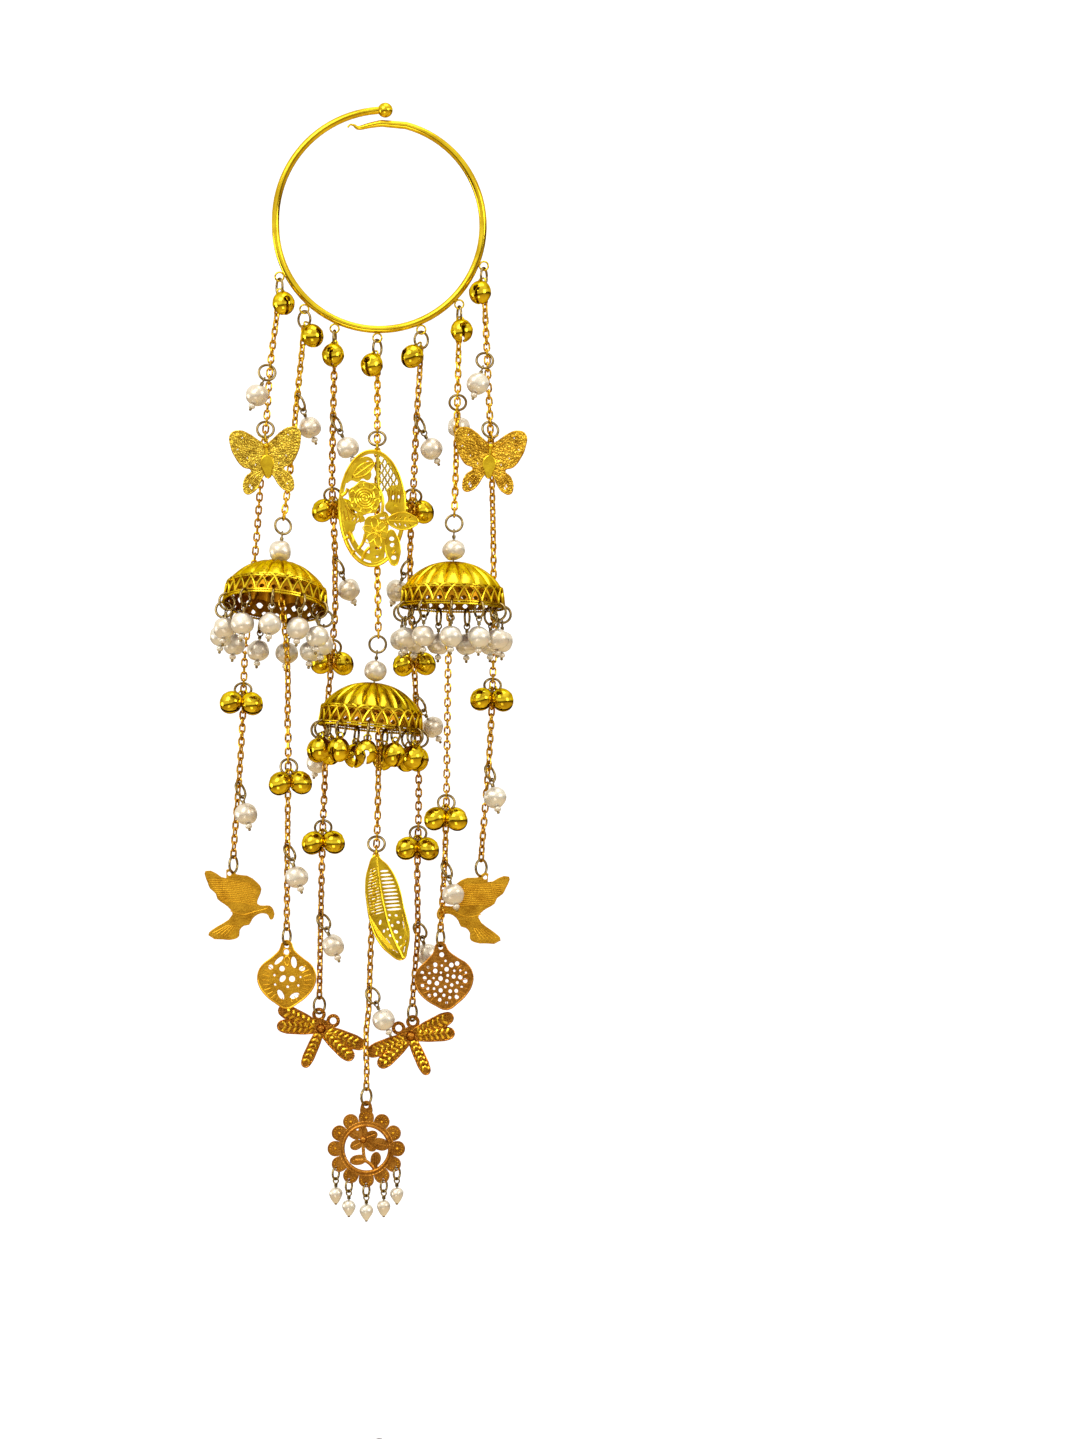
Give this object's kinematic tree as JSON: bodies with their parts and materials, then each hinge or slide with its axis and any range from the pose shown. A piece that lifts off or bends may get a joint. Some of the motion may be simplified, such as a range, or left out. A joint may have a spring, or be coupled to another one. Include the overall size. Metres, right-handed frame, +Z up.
{
  "type": "bridal bangle ornament",
  "caption": "Hanging bridal ornament: a sprung gold bangle with chains of bells, pearls, umbrella caps, stamped charms and a scalloped disc.",
  "frame": {"origin": "the hang point, at the inner top of the bangle's round", "axes": "+Z up, the strands hang along -Z; the bangle lies in the XZ plane and faces -Y; +X to the viewer's right"},
  "size_m": [0.1036, 0.0512, 0.3579],
  "materials": {
    "polished_gold": "polished",
    "chain_gold": "polished",
    "ring_gold": "polished",
    "bell_gold": "polished",
    "charm_gold": "satin",
    "pearl": "glossy"
  },
  "bodies": {
    "bangle_and_strands": {"bangle": "polished_gold", "chain_1": "chain_gold", "chain_2": "chain_gold", "chain_3": "chain_gold", "chain_4": "chain_gold", "chain_5": "chain_gold", "chain_6": "chain_gold", "chain_7": "chain_gold", "jump_rings_1": "ring_gold", "jump_rings_2": "ring_gold", "jump_rings_3": "ring_gold", "jump_rings_4": "ring_gold", "jump_rings_5": "ring_gold", "jump_rings_6": "ring_gold", "jump_rings_7": "ring_gold", "bells_1": "bell_gold", "bells_2": "bell_gold", "bells_3": "bell_gold", "bells_4": "bell_gold", "bells_5": "bell_gold", "bells_6": "bell_gold", "bells_7": "bell_gold", "pearls_1": "pearl", "pearls_2": "pearl", "pearls_3": "pearl", "pearls_4": "pearl", "pearls_5": "pearl", "pearls_6": "pearl", "pearls_7": "pearl", "head_pins_1": "ring_gold", "head_pins_2": "ring_gold", "head_pins_3": "ring_gold", "head_pins_4": "ring_gold", "head_pins_5": "ring_gold", "head_pins_6": "ring_gold", "head_pins_7": "ring_gold", "umbrella_1": "polished_gold", "umbrella_2": "polished_gold", "umbrella_3": "polished_gold", "crown_pearls": "pearl", "eye_pins": "ring_gold", "fringe_wires_1": "ring_gold", "fringe_wires_2": "ring_gold", "fringe_wires_3": "ring_gold", "fringe_pearls_1": "pearl", "fringe_pearls_2": "pearl", "fringe_bells_3": "bell_gold", "butterfly_1": "charm_gold", "butterfly_2": "charm_gold", "bird_1": "charm_gold", "bird_2": "charm_gold", "leaf_1": "charm_gold", "leaf_2": "charm_gold", "dragonfly_1": "charm_gold", "dragonfly_2": "charm_gold", "oval_charm": "charm_gold", "feather": "charm_gold"},
    "sun_pendant": {"sun_disc": "charm_gold", "sun_wires": "ring_gold", "sun_pearls": "pearl"}
  },
  "joints": [
    {"name": "sun_pendant_swing", "type": "hinge", "parent": "bangle_and_strands", "child": "sun_pendant", "pos_m": [-0.00409, -0.002, -0.31315], "axis": [0.5736, 0.8192, 0], "range_deg": [-45, 45]}
  ]
}
